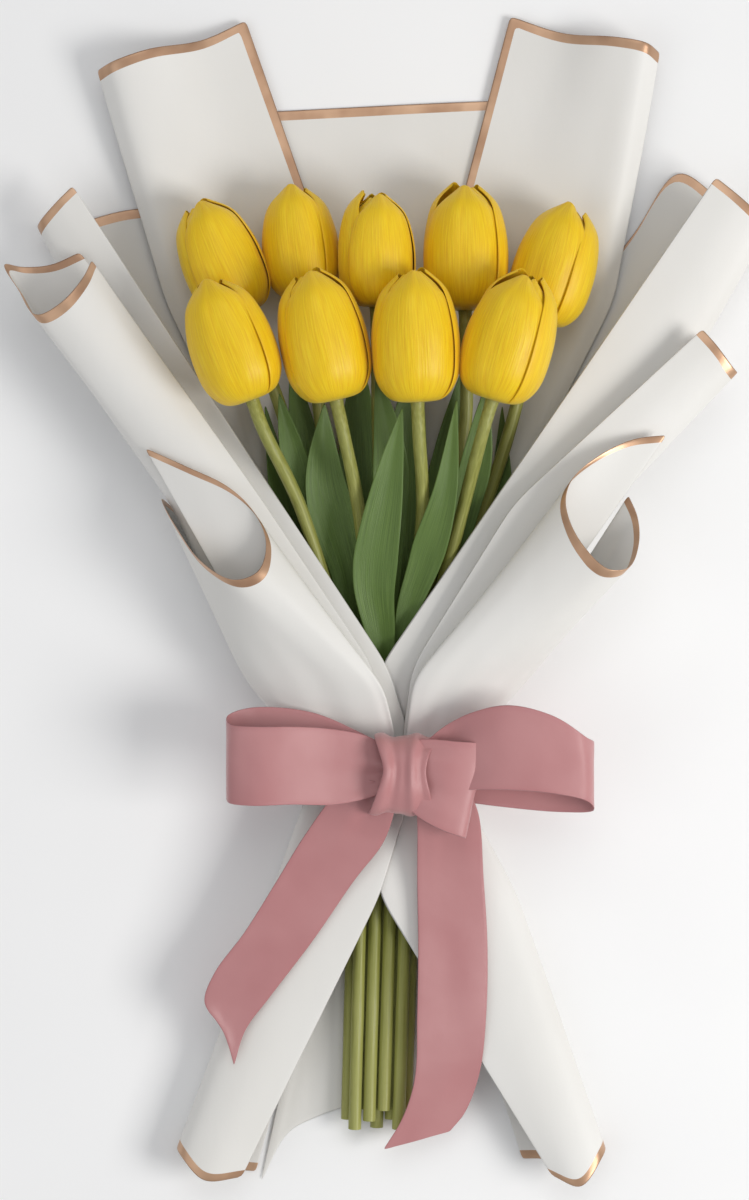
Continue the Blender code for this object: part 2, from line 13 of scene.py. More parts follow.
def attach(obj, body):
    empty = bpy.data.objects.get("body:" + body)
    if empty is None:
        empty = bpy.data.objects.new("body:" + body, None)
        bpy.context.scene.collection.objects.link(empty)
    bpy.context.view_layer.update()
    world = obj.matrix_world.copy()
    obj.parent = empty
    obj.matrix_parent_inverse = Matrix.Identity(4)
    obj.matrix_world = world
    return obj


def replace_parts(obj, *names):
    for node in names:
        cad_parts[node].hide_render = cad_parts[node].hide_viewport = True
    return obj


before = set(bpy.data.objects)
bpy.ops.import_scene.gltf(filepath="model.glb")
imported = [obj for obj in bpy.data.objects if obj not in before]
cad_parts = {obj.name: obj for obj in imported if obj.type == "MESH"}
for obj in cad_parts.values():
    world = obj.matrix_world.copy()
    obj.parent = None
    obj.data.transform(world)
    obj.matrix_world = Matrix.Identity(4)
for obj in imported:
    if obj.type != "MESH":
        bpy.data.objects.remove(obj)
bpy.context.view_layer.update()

MM = 0.001
TIE_AT = Vector((-1.23, -78.5, 0.0))
BODY = "root"

PAPER = 0.35
RIBBON = 0.35
PETAL = 0.5
LEAF = 0.6
STEM_RADIUS = 3.1
BLOOM_HEIGHT = 63.0
BLOOM_RADIUS = 20.5
BORDER = 4.6  # width of the paper's printed line

# ----------------------------------------------------------------------------- materials


class Paint:
    """A Principled material and short ways to add nodes to it."""

    def __init__(self, name, roughness, specular=0.5):
        self.material = bpy.data.materials.new(name)
        self.material.use_nodes = True
        self.nodes = self.material.node_tree.nodes
        self.links = self.material.node_tree.links
        self.shader = self.nodes["Principled BSDF"]
        self.set("Roughness", roughness)
        self.set("Specular IOR Level", specular)

    def set(self, socket, value):
        self.shader.inputs[socket].default_value = value

    def node(self, kind, inputs=None, **settings):
        made = self.nodes.new(kind)
        for key, value in settings.items():
            setattr(made, key, value)
        for key, value in (inputs or {}).items():
            if isinstance(value, bpy.types.NodeSocket):
                self.links.new(value, made.inputs[key])
            else:
                made.inputs[key].default_value = value
        return made

    def attribute(self, name):
        return self.node("ShaderNodeAttribute", attribute_name=name).outputs["Fac"]

    def math(self, operation, a, b=0.0):
        return self.node("ShaderNodeMath", {0: a, 1: b}, operation=operation).outputs[0]

    def position(self, scale=(1, 1, 1)):
        place = self.node("ShaderNodeTexCoord").outputs["Object"]
        return self.node("ShaderNodeMapping", {"Vector": place, "Scale": scale}).outputs[0]

    def noise(self, vector, scale, detail=3.0, rough=0.5):
        made = self.node("ShaderNodeTexNoise", {"Vector": vector, "Scale": scale, "Detail": detail,
                                                "Roughness": rough})
        return made.outputs["Fac"]

    def ramp(self, fac, *stops):
        made = self.node("ShaderNodeValToRGB", {"Fac": fac})
        ends = made.color_ramp.elements
        while len(ends) < len(stops):
            ends.new(0.5)
        for end, (at, colour) in zip(ends, stops):
            end.position = at
            end.color = (*colour, 1.0)
        return made.outputs["Color"]

    def mix(self, fac, a, b, blend="MIX"):
        made = self.node("ShaderNodeMix", data_type="RGBA", blend_type=blend)
        for key, value in ((0, fac), (6, a), (7, b)):
            if isinstance(value, bpy.types.NodeSocket):
                self.links.new(value, made.inputs[key])
            elif key == 0:
                made.inputs[key].default_value = value
            else:
                made.inputs[key].default_value = (*value, 1.0)
        return made.outputs[2]

    def colour(self, socket):
        self.links.new(socket, self.shader.inputs["Base Color"])

    def bump(self, height, strength, distance):
        made = self.node("ShaderNodeBump", {"Height": height, "Strength": strength,
                                            "Distance": distance})
        self.links.new(made.outputs[0], self.shader.inputs["Normal"])


def paper_paint():
    paint = Paint("wrapping_paper", 0.5, 0.4)
    cloud = paint.noise(paint.position(), 9.0, 3.0)
    fibre = paint.noise(paint.position(), 900.0, 2.0)
    white = paint.ramp(cloud, (0.3, (0.74, 0.725, 0.69)), (0.7, (0.80, 0.79, 0.765)))
    white = paint.mix(paint.math("MULTIPLY", fibre, 0.06), white, (0.72, 0.70, 0.67))
    shimmer = paint.noise(paint.position(), 60.0, 2.0)
    copper = paint.ramp(shimmer, (0.3, (0.42, 0.245, 0.15)), (0.7, (0.62, 0.40, 0.26)))
    line = paint.math("LESS_THAN", paint.attribute("edge_mm"), BORDER)
    paint.colour(paint.mix(line, white, copper))
    gloss = paint.math("SUBTRACT", 0.52, paint.math("MULTIPLY", line, 0.18))
    paint.links.new(gloss, paint.shader.inputs["Roughness"])
    paint.links.new(paint.math("MULTIPLY", line, 0.55), paint.shader.inputs["Metallic"])
    crease = paint.noise(paint.position((1.0, 0.35, 1.0)), 38.0, 3.0)
    paint.bump(paint.math("ADD", crease, paint.math("MULTIPLY", fibre, 0.05)), 0.35, 0.0012)
    return paint.material


def petal_paint():
    paint = Paint("tulip_petal", 0.42, 0.35)
    streak = paint.noise(paint.node("ShaderNodeMapping", {
        "Vector": paint.node("ShaderNodeUVMap", uv_map="grain").outputs[0],
        "Scale": (22.0, 1.6, 1.0)}).outputs[0], 3.0, 4.0)
    yellow = paint.ramp(streak, (0.25, (0.76, 0.43, 0.004)), (0.55, (0.87, 0.56, 0.007)),
                        (0.8, (0.93, 0.67, 0.02)))
    foot = paint.attribute("foot")
    yellow = paint.mix(paint.math("MULTIPLY", foot, 0.55), yellow, (0.72, 0.58, 0.05))
    rim = paint.attribute("rim")
    yellow = paint.mix(paint.math("MULTIPLY", rim, 0.35), yellow, (0.82, 0.43, 0.004))
    paint.colour(yellow)
    paint.set("Subsurface Weight", 0.12)
    paint.set("Subsurface Radius", (0.006, 0.003, 0.0004))
    paint.set("Subsurface Scale", 0.5)
    paint.set("Sheen Weight", 0.08)
    paint.bump(streak, 0.3, 0.0008)
    return paint.material


def green_paint(name, dark, mid, light, roughness, stretch):
    paint = Paint(name, roughness, 0.4)
    vein = paint.noise(paint.node("ShaderNodeMapping", {
        "Vector": paint.node("ShaderNodeUVMap", uv_map="grain").outputs[0],
        "Scale": stretch}).outputs[0], 3.0, 4.0)
    colour = paint.ramp(vein, (0.25, dark), (0.5, mid), (0.8, light))
    patch = paint.noise(paint.position(), 35.0, 2.0)
    colour = paint.mix(paint.math("MULTIPLY", patch, 0.35), colour, light)
    pale = paint.attribute("foot")
    colour = paint.mix(paint.math("MULTIPLY", pale, 0.6), colour, light)
    paint.colour(colour)
    paint.set("Subsurface Weight", 0.05)
    paint.set("Subsurface Radius", (0.002, 0.003, 0.001))
    paint.bump(vein, 0.35, 0.0008)
    return paint.material


def satin_paint():
    paint = Paint("satin_ribbon", 0.34, 0.55)
    grain = paint.node("ShaderNodeUVMap", uv_map="grain").outputs[0]
    thread = paint.node("ShaderNodeTexWave", {"Vector": grain, "Scale": 60.0, "Distortion": 0.4},
                        bands_direction="X").outputs["Fac"]
    cloud = paint.noise(paint.position(), 28.0, 2.0)
    pink = paint.ramp(cloud, (0.3, (0.46, 0.195, 0.20)), (0.7, (0.51, 0.235, 0.238)))
    selvedge = paint.attribute("rim")
    pink = paint.mix(paint.math("MULTIPLY", selvedge, 0.35), pink, (0.45, 0.17, 0.18))
    paint.colour(pink)
    paint.set("Sheen Weight", 0.35)
    paint.set("Sheen Roughness", 0.35)
    paint.set("Anisotropic", 0.5)
    wrinkle = paint.noise(paint.position(), 55.0, 2.0)
    paint.bump(paint.math("ADD", paint.math("MULTIPLY", thread, 0.04), wrinkle), 0.4, 0.0012)
    return paint.material


def floor_paint():
    paint = Paint("floor", 0.7, 0.2)
    speck = paint.noise(paint.position(), 6.0, 2.0)
    paint.colour(paint.ramp(speck, (0.3, (0.90, 0.90, 0.90)), (0.7, (0.93, 0.93, 0.93))))
    return paint.material


# -------------------------------------------------------------------------------- curves


def curve_through(points, per_segment):
    """A centripetal Catmull-Rom curve through the points, per_segment steps in each span."""
    points = [Vector(p) for p in points]
    ends = [2 * points[0] - points[1], *points, 2 * points[-1] - points[-2]]
    found = []
    for a, b, c, d in zip(ends, ends[1:], ends[2:], ends[3:]):
        knots = [0.0]
        for p, q in ((a, b), (b, c), (c, d)):
            knots.append(knots[-1] + max((q - p).length, 1e-6) ** 0.5)
        k0, k1, k2, k3 = knots
        for step in range(per_segment):
            k = k1 + (k2 - k1) * step / per_segment
            ab = a.lerp(b, (k - k0) / (k1 - k0))
            bc = b.lerp(c, (k - k1) / (k2 - k1))
            cd = c.lerp(d, (k - k2) / (k3 - k2))
            abc = ab.lerp(bc, (k - k0) / (k2 - k0))
            bcd = bc.lerp(cd, (k - k1) / (k3 - k1))
            found.append(abc.lerp(bcd, (k - k1) / (k2 - k1)))
    return [*found, points[-1]]


def soft_polyline(points, steps, radius):
    """steps[k] samples in each straight run, its corners rounded over about the radius."""
    lengths = [0.0]
    for p, q in zip(points, points[1:]):
        lengths.append(lengths[-1] + (q - p).length)

    def at(s):
        for i, end in enumerate(lengths[1:]):
            if s <= end or i == len(lengths) - 2:
                run = max(end - lengths[i], 1e-9)
                return points[i].lerp(points[i + 1], (s - lengths[i]) / run)

    found = []
    for i, count in enumerate(steps):
        for step in range(count + (i == len(steps) - 1)):
            s = lengths[i] + (lengths[i + 1] - lengths[i]) * step / count
            reach = min(radius, s, lengths[-1] - s)
            near = [at(s + reach * k / 4) for k in range(-4, 5)]
            found.append(sum(near, Vector()) / len(near))
    return found


def loft(rows, across, along, radius=9.0):
    """A grid of points: a curve across each row, and straight runs from row to row."""
    curves = [curve_through(row, across) for row in rows]
    columns = list(zip(*curves))
    middle = columns[len(columns) // 2]
    steps = [max(2, round((q - p).length / along)) for p, q in zip(middle, middle[1:])]
    columns = [soft_polyline(column, steps, radius) for column in columns]
    return [list(row) for row in zip(*columns)]


# -------------------------------------------------------------------------------- pieces


def grid_piece(name, grid, thickness, paint, attributes):
    """A sheet from a grid of points, with its grain in a UV map, made solid."""
    rows, columns = len(grid), len(grid[0])
    mesh = bpy.data.meshes.new(name)
    faces = []
    for j in range(rows - 1):
        for i in range(columns - 1):
            corner = j * columns + i
            faces.append([corner, corner + 1, corner + columns + 1, corner + columns])
    mesh.from_pydata([tuple((p + TIE_AT) * MM) for row in grid for p in row], [], faces)
    grain = mesh.uv_layers.new(name="grain")
    for loop in mesh.loops:
        j, i = divmod(loop.vertex_index, columns)
        grain.data[loop.index].uv = (i / (columns - 1), j / (rows - 1))
    for key, values in attributes.items():
        layer = mesh.attributes.new(key, "FLOAT", "POINT")
        layer.data.foreach_set("value", [v for row in values for v in row])
    mesh.shade_smooth()
    mesh.materials.append(paint)
    made = bpy.data.objects.new(name, mesh)
    bpy.context.scene.collection.objects.link(made)
    shell = made.modifiers.new("thickness", "SOLIDIFY")
    shell.thickness = thickness * MM
    shell.offset = 0.0
    soft = made.modifiers.new("smooth", "SUBSURF")
    soft.levels = 1
    soft.render_levels = 1
    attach(made, BODY)
    return made


def tube_piece(name, path, radii, sides, paint):
    """A round, faintly lobed bar with flat ends."""
    points, faces, foot = [], [], []
    turn = Vector((0, 0, 1))
    for i, p in enumerate(path):
        ahead = (path[min(i + 1, len(path) - 1)] - path[max(i - 1, 0)]).normalized()
        turn = (turn - ahead * turn.dot(ahead)).normalized()
        other = ahead.cross(turn)
        for k in range(sides):
            angle = 2 * math.pi * k / sides
            swell = 1 + 0.05 * noise.noise(p * 0.05) + 0.03 * math.cos(3 * angle)
            spoke = turn * math.cos(angle) + other * math.sin(angle)
            points.append(p + spoke * radii[i] * swell)
            foot.append(max(0.0, 1 - i / 5) * 0.8)
    for j in range(len(path) - 1):
        for k in range(sides):
            a, b = j * sides + k, j * sides + (k + 1) % sides
            faces.append([a, b, b + sides, a + sides])
    faces.append(list(range(sides))[::-1])
    faces.append([(len(path) - 1) * sides + k for k in range(sides)])
    mesh = bpy.data.meshes.new(name)
    mesh.from_pydata([tuple((p + TIE_AT) * MM) for p in points], [], faces)
    grain = mesh.uv_layers.new(name="grain")
    for loop in mesh.loops:
        j, k = divmod(loop.vertex_index, sides)
        grain.data[loop.index].uv = (k / sides, j / len(path))
    mesh.attributes.new("foot", "FLOAT", "POINT").data.foreach_set("value", foot)
    mesh.shade_smooth()
    mesh.set_sharp_from_angle(angle=math.radians(50))
    mesh.materials.append(paint)
    made = bpy.data.objects.new(name, mesh)
    bpy.context.scene.collection.objects.link(made)
    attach(made, BODY)
    return made


# ------------------------------------------------------------------------ wrapping paper
# The same rows as the solid sheets, from the top rim down to the lower end.

BACK_SHEET = [
    [(-62, 313, 0.3), (-25, 315, 0.3), (25, 317.5, 0.3), (62, 319, 0.3)],
    [(-18, 64, 0.3), (-6, 64, 0.3), (6, 64, 0.3), (18, 64, 0.3)],
    [(-13, 12, 1.7), (-5, 12, 1.7), (5, 12, 1.7), (13, 12, 1.7)],
    [(-13, -12, 1.7), (-5, -12, 1.7), (5, -12, 1.7), (13, -12, 1.7)],
    [(-30, -64, 0.3), (-20, -64, 0.3), (-8, -64, 0.3), (6, -64, 0.3)],
    [(-60, -202, 0.3), (-47, -178, 0.3), (-33, -170, 0.3), (-16, -164, 0.3)],
]
LEFT_PANEL = [
    [(-66.7, 357, 3), (-88, 346.5, 8), (-112, 341, 19), (-129, 335, 20), (-137.5, 331.5, 11)],
    [(-19, 220, 1.4), (-50, 220, 1.4), (-80, 221, 1.6), (-97, 221, 6), (-105, 221, 4.4)],
    [(12, 58, 2.2), (2, 58, 2.2), (-10, 58, 2.2), (-20, 58, 4.0), (-26, 58, 3.4)],
    [(10, 12, 2.8), (2, 12, 2.8), (-8, 12, 2.8), (-17, 12, 4.2), (-22, 12, 3.8)],
    [(10, -14, 2.8), (2, -14, 2.8), (-8, -14, 2.8), (-17, -14, 4.2), (-22, -14, 3.8)],
]
RIGHT_PANEL = [
    [(60, 359, 3), (86, 350, 7), (109, 347, 17), (124, 344, 19), (131.5, 340, 11)],
    [(24, 222, 2.4), (55, 222, 2.4), (84, 222, 2.6), (102, 222, 6), (110, 222, 4.4)],
    [(-10, 58, 3.3), (0, 58, 3.3), (12, 58, 3.4), (21, 58, 4.4), (27, 58, 3.6)],
    [(-8, 12, 3.9), (0, 12, 3.9), (9, 12, 3.9), (18, 12, 4.8), (23, 12, 4.2)],
    [(-8, -14, 3.9), (0, -14, 3.9), (9, -14, 3.9), (18, -14, 4.8), (23, -14, 4.2)],
]
LEFT_WRAP = [
    [(-66, 268, 0.3), (-95, 268, 0.3), (-125, 266, 0.6), (-150, 259, 3), (-165, 256, 12),
     (-164.5, 258, 22), (-157, 266, 27), (-148, 275, 27)],
    [(-22, 62, 0.5), (-34, 62, 0.5), (-45, 58, 1.5), (-54, 54, 6), (-58.5, 52, 16),
     (-56, 51, 28), (-38, 49, 36), (2, 47, 38)],
    [(-17, 12, 1.7), (-23, 12, 1.7), (-29, 12, 3), (-34, 12, 7), (-36.5, 12, 13.5),
     (-34, 12, 20.5), (-21, 12, 24.6), (13, 12, 25.4)],
    [(-17, -12, 1.7), (-23, -12, 1.7), (-29, -12, 3), (-34, -12, 7), (-36.5, -12, 13.5),
     (-34, -12, 20.5), (-21, -12, 24.6), (13, -12, 25.4)],
    [(-24, -60, 2), (-33, -60, 2), (-42, -59, 2.4), (-49, -57, 5), (-52, -56, 12),
     (-50, -56, 20), (-36, -57, 26), (-2, -61, 28)],
    [(-62, -196, 1.4), (-72, -195, 1.4), (-83, -192, 2), (-94, -187, 4), (-99, -183, 11),
     (-97, -186, 19), (-86, -197, 23), (-68, -196, 19)],
]
RIGHT_WRAP = [
    [(96, 226, 0.3), (120, 255, 0.3), (141, 284, 0.8), (162, 270, 3), (181, 256, 12),
     (182, 257, 22), (170, 268, 28), (156.5, 279, 28)],
    [(22, 62, 0.5), (34, 62, 0.5), (46, 58, 1.5), (56, 52, 6), (62, 46, 15),
     (59, 45, 27), (40, 46, 34), (-3, 47, 35.4)],
    [(17, 12, 1.7), (23, 12, 1.7), (29, 12, 3), (34, 12, 7), (36.5, 12, 13.5),
     (34, 12, 19.8), (22, 12, 23.4), (-13, 12, 23.8)],
    [(17, -12, 1.7), (23, -12, 1.7), (29, -12, 3), (34, -12, 7), (36.5, -12, 13.5),
     (34, -12, 19.8), (22, -12, 23.4), (-13, -12, 23.8)],
    [(24, -60, 0.5), (34, -60, 0.5), (46, -60, 1.5), (56, -60, 5), (62, -60, 12),
     (59, -60, 20), (42, -60, 25), (-3, -62, 26)],
    [(66, -190, 0.3), (74, -190, 0.3), (86, -191, 1), (98, -189, 4), (105, -183, 11),
     (103, -187, 19), (93, -200, 23), (79, -195, 19)],
]
LEFT_SLEEVE = [
    [(-144, 243, 32), (-158, 237, 31), (-172, 236, 31), (-179.5, 237, 35), (-172, 225, 44),
     (-163, 212, 52), (-151, 217, 57), (-141, 229, 53), (-137.5, 238.5, 43)],
    [(-60, 128, 37.6), (-78, 128, 36.6), (-93, 127, 30), (-101, 126, 22), (-102, 126, 30),
     (-97, 126, 38), (-86, 126, 44), (-72, 126, 46), (-58, 126, 44)],
    [(-26, 50, 38.8), (-40, 50, 37.4), (-58, 48, 29.8), (-63, 46, 19), (-64.5, 45, 27),
     (-60, 45, 34), (-46, 46, 40), (-26, 47, 41.6), (-5, 47, 42)],
    [(-14, 12, 26.6), (-24, 12, 25.6), (-35.6, 12, 21.6), (-39.6, 12, 15), (-39.9, 12, 21.5),
     (-35.5, 12, 25.6), (-25, 12, 28), (-14, 12, 28.7), (-3, 12, 28.9)],
    [(-14, -14, 26.6), (-24, -14, 25.6), (-35.6, -14, 21.6), (-39.6, -14, 15),
     (-39.9, -14, 21.5), (-35.5, -14, 25.6), (-25, -14, 28), (-14, -14, 28.7),
     (-3, -14, 28.9)],
]
RIGHT_SLEEVE = [
    [(151, 203, 33), (157, 197, 32), (163, 190, 32), (166, 186, 34.5), (163, 189, 38.5),
     (156, 198, 41.5), (149, 206, 41)],
    [(66, 122, 37), (80, 121, 36.4), (93, 120, 31.4), (103.1, 119, 29.0), (101, 119, 34.4),
     (82, 121, 41), (60, 124, 42)],
    [(24, 48, 38), (42, 48, 36.2), (61.5, 47, 30.5), (66.1, 45, 20.2), (65, 45, 29),
     (46, 46, 38.6), (12, 47, 41)],
    [(16, 12, 26.4), (25, 12, 24.8), (35.2, 12, 22), (39.8, 12, 15.4), (39.2, 12, 21.4),
     (27, 12, 27.2), (8, 12, 28.8)],
    [(16, -14, 26.4), (25, -14, 24.8), (35.2, -14, 22), (39.8, -14, 15.4), (39.2, -14, 21.4),
     (27, -14, 27.2), (8, -14, 28.8)],
]
LEFT_CUFF = [
    [(-99, 121, 12), (-106, 127, 26), (-98, 113, 45), (-86, 97, 58), (-71, 88, 65),
     (-59, 92, 65), (-55.5, 106, 59), (-62, 121, 55), (-74, 132, 53.5), (-93, 141, 51),
     (-113, 150, 47)],
    [(-60, 42, 12), (-67, 42, 22), (-64, 42, 34), (-48, 42, 43), (-28, 41, 47),
     (-8, 39, 48), (-1, 38, 46.6), (-7, 40, 45), (-22, 42, 44.6), (-40, 42, 43),
     (-52, 42, 39.6)],
    [(-38, 12, 7), (-42, 12, 15), (-41.6, 12, 23), (-34, 12, 29.3), (-18, 12, 31.3),
     (0, 12, 31.7), (5, 12, 31), (0, 12, 30.3), (-12, 12, 30.1), (-25, 12, 29.4),
     (-33, 12, 27.6)],
    [(-38, -14, 7), (-42, -14, 15), (-41.6, -14, 23), (-34, -14, 29.3), (-18, -14, 31.3),
     (0, -14, 31.7), (5, -14, 31), (0, -14, 30.3), (-12, -14, 30.1), (-25, -14, 29.4),
     (-33, -14, 27.6)],
]
RIGHT_CUFF = [
    [(132, 156, 46), (117, 154, 48), (102.5, 147.5, 51), (88, 136, 55), (84, 126, 59),
     (86, 114, 65), (93, 102, 69), (103, 93, 69), (113, 94, 64), (118, 105, 55),
     (118, 118, 46), (114, 128, 43)],
    [(54, 44, 37.4), (44, 44, 41.6), (32, 44, 43.6), (20, 43, 44.2), (13, 42, 45.4),
     (20, 41, 47.4), (34, 41, 47.4), (50, 41, 44), (62, 41, 36), (68, 41, 25),
     (67, 42, 16), (61, 43, 8)],
    [(33, 12, 26.8), (27, 12, 28.7), (20, 12, 29.7), (14, 12, 30), (9.5, 12, 30.7),
     (14, 12, 31.5), (22, 12, 31.3), (33, 12, 29), (40, 12, 24), (42.4, 12, 16),
     (41, 12, 10), (37, 12, 6)],
    [(33, -14, 26.8), (27, -14, 28.7), (20, -14, 29.7), (14, -14, 30), (9.5, -14, 30.7),
     (14, -14, 31.5), (22, -14, 31.3), (33, -14, 29), (40, -14, 24), (42.4, -14, 16),
     (41, -14, 10), (37, -14, 6)],
]
# Node, rows, edges that carry the printed line (top, bottom or start of the rows), and
# how deep the gathers at the tie run.
SHEETS = [
    ("back_sheet", BACK_SHEET, "top", 0.2),
    ("left_back_panel", LEFT_PANEL, "top start", 0.2),
    ("right_back_panel", RIGHT_PANEL, "top start", 0.2),
    ("left_wrap", LEFT_WRAP, "top bottom", 0.35),
    ("right_wrap", RIGHT_WRAP, "top bottom", 0.35),
    ("left_sleeve", LEFT_SLEEVE, "top", 0.35),
    ("right_sleeve", RIGHT_SLEEVE, "top", 0.35),
    ("left_cuff", LEFT_CUFF, "top", 0.8),
    ("right_cuff", RIGHT_CUFF, "top", 0.8),
]
ACROSS, ALONG = 5, 5.0
GATHER_REACH = 55.0  # how far from the tie the gathers fade out
ROLL = 0.9  # height of the soft waves in the open paper
NO_EDGE = 99.0  # stands for a point far from every lined edge
LOWEST = 0.25  # nothing dips below this height above the floor


def runs(lines):
    """For each line of points, the length from its start to each point."""
    found = []
    for line in lines:
        run = [0.0]
        for p, q in zip(line, line[1:]):
            run.append(run[-1] + (q - p).length)
        found.append(run)
    return found


def edge_distances(grid, edges):
    """Each point's distance in millimetres to the nearest edge with a printed line."""
    far = [[NO_EDGE] * len(grid[0]) for _ in grid]
    down = list(zip(*grid))
    from_top = runs(down)
    from_bottom = runs([line[::-1] for line in down])
    from_start = runs(grid)
    for j, row in enumerate(far):
        for i in range(len(row)):
            if "top" in edges:
                row[i] = min(row[i], from_top[i][j])
            if "bottom" in edges:
                row[i] = min(row[i], from_bottom[i][len(grid) - 1 - j])
            if "start" in edges:
                row[i] = min(row[i], from_start[j][i])
    return far


def beside(p, q):
    """The point one line's width from p towards q, or most of the way if q is nearer."""
    return p.lerp(q, min(BORDER / max((q - p).length, BORDER + 1), 0.9))


def refine_rims(grid, edges):
    """One more row or column a line's width in from each lined edge."""
    if "top" in edges:
        grid = [grid[0], [beside(p, q) for p, q in zip(grid[0], grid[1])], *grid[1:]]
    if "bottom" in edges:
        grid = [*grid[:-1], [beside(p, q) for p, q in zip(grid[-1], grid[-2])], grid[-1]]
    if "start" in edges:
        grid = [[row[0], beside(row[0], row[1]), *row[1:]] for row in grid]
    return grid


def normals_of(grid):
    rows, columns = len(grid), len(grid[0])
    found = []
    for j in range(rows):
        line = []
        for i in range(columns):
            across = grid[j][min(i + 1, columns - 1)] - grid[j][max(i - 1, 0)]
            along = grid[min(j + 1, rows - 1)][i] - grid[max(j - 1, 0)][i]
            line.append(across.cross(along).normalized())
        found.append(line)
    return found


def crumple(grid, depth, seed):
    """Gathers that run out of the tie, and faint waves where the paper is free."""
    normals = normals_of(grid)
    columns = len(grid[0])
    for j, row in enumerate(grid):
        for i, p in enumerate(row):
            near = math.exp(-((p.y + 2) / GATHER_REACH) ** 2)
            share = i / (columns - 1)
            fold = math.sin(share * 38 + seed) + 0.6 * math.sin(share * 71 + 2 * seed)
            wave = noise.noise(Vector((share * 3, p.y * 0.012, seed)))
            shift = depth * fold * near * 0.6 + ROLL * wave * (1 - near)
            q = p + normals[j][i] * shift
            row[i] = Vector((q.x, q.y, max(q.z, LOWEST)))
    return grid


def wrapping():
    paint = paper_paint()
    for seed, (node, rows, edges, depth) in enumerate(SHEETS):
        grid = crumple(loft(rows, ACROSS, ALONG), depth, seed * 1.7 + 0.4)
        grid = refine_rims(grid, edges)
        piece = grid_piece(f"paper_{node}", grid, PAPER, paint,
                           {"edge_mm": edge_distances(grid, edges)})
        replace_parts(piece, node)


# -------------------------------------------------------------------------------- tulips

ROW_LOW, ROW_HIGH = 7.8, 13.9
TULIPS = [
    {"base": (-62, 172, 54.5), "tip": (-83, 229, 60), "turn": 12, "size": 0.96, "slot": -10.8,
     "bend": 6},
    {"base": (-23, 172, 52), "tip": (-37, 234, 57), "turn": -14, "size": 1.0, "slot": -3.6},
    {"base": (15, 171, 54), "tip": (12, 234, 59), "turn": -8, "size": 1.0, "slot": 3.6},
    {"base": (50, 172, 53), "tip": (68, 233, 59), "turn": 20, "size": 1.0, "slot": 10.8},
    {"base": (-67, 214, 26), "tip": (-91, 270, 30), "turn": -20, "size": 0.93, "slot": -14.4},
    {"base": (-37, 222, 21.5), "tip": (-44, 280, 23.5), "turn": 15, "size": 0.87, "slot": -7.2},
    {"base": (-4, 217, 33), "tip": (-5, 279, 37), "turn": -25, "size": 0.88, "slot": 0},
    {"base": (38, 216, 24), "tip": (38, 279, 25), "turn": 5, "size": 0.98, "slot": 7.2},
    {"base": (73, 210, 24), "tip": (90, 266, 26), "turn": 30, "size": 0.94, "slot": 14.4},
]
FRONT_TULIPS = 4
OUTLINE = [(0.16, 0.0), (0.62, 0.03), (0.93, 0.18), (1.0, 0.40), (0.95, 0.62), (0.75, 0.84),
           (0.30, 0.99)]
SWEEP = [56, 64, 68, 68, 67, 60, 34]
STATIONS, PETAL_ACROSS = 24, 16
INNER_GAP = 2.1  # from the outer petals in to the inner ones
INNER_REACH = 0.97  # the inner petals' height against the outer ones'
PETAL_LAP = 0.75  # how far a petal's two edges stand out and in, to lap its neighbours
PETAL_RIB = 0.55  # depth of the groove down the middle
PETAL_FLUTE = 0.22  # height of the fine ridges
PETAL_DIP = 2.2  # how much lower the rim stands at a petal's edges


def bloom_frame(tulip):
    """The bloom's placement: its foot at the origin and its tip along +Z."""
    base, tip = Vector(tulip["base"]), Vector(tulip["tip"])
    axis = (tip - base).normalized()
    side = axis.cross(Vector((0, 0, 1))).normalized()
    front = side.cross(axis)
    turn = Matrix((side, front, axis)).transposed().to_4x4()
    return Matrix.Translation(base) @ turn @ Matrix.Rotation(math.radians(tulip["turn"]), 4, "Z")


def outline_at(share, rows):
    """A smooth value from the stations' list at a share of the way from foot to tip."""
    place = min(max(share, 0.0), 1.0) * (len(rows) - 1)
    low = min(int(place), len(rows) - 2)
    t = place - low
    a, b = rows[max(low - 1, 0)], rows[low]
    c, d = rows[low + 1], rows[min(low + 2, len(rows) - 1)]
    return 0.5 * (2 * b + (c - a) * t + (2 * a - 5 * b + 4 * c - d) * t * t
                  + (3 * b - a - 3 * c + d) * t ** 3)


def petal(name, tulip, number, inset, reach, paint, nodes):
    """One petal: its edge on one side lies over its neighbour and on the other side under."""
    place = bloom_frame(tulip)
    size = tulip["size"]
    middle = math.radians(90 + 120 * number + (60 if inset > 1 else 0))
    shorter = 1 - 0.02 * ((number * 7 + round(tulip["turn"])) % 3)
    grid, foot, rim = [], [], []
    for j in range(STATIONS + 1):
        share = j / STATIONS
        radius = max(outline_at(share, [r for r, _ in OUTLINE]), 0.05) * BLOOM_RADIUS * size
        height = outline_at(share, [h for _, h in OUTLINE]) * BLOOM_HEIGHT * size * reach * shorter
        sweep = math.radians(outline_at(share, SWEEP)) * (1.0 if inset < 1 else 0.96)
        line, feet, rims = [], [], []
        for i in range(PETAL_ACROSS + 1):
            s = 2 * i / PETAL_ACROSS - 1
            lap = PETAL_LAP * s * math.sin(math.pi * min(share * 1.1, 1))
            rib = -PETAL_RIB * math.exp(-(s / 0.10) ** 2) * math.sin(math.pi * share) ** 0.5
            flute = PETAL_FLUTE * math.sin(9 * s + number) * share
            r = max(radius - inset + lap + rib + flute, 0.5)
            h = height - PETAL_DIP * s * s * share * size
            angle = middle + sweep * s
            line.append(place @ Vector((r * math.cos(angle), r * math.sin(angle), h)))
            feet.append(max(0.0, 1 - share * 4.5))
            rims.append(max(abs(s) * 5 - 4, (share - 0.9) * 6, 0.0))
        grid.append(line)
        foot.append(feet)
        rim.append(rims)
    piece = grid_piece(name, grid, PETAL, paint, {"foot": foot, "rim": rim})
    if nodes:
        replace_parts(piece, *nodes)


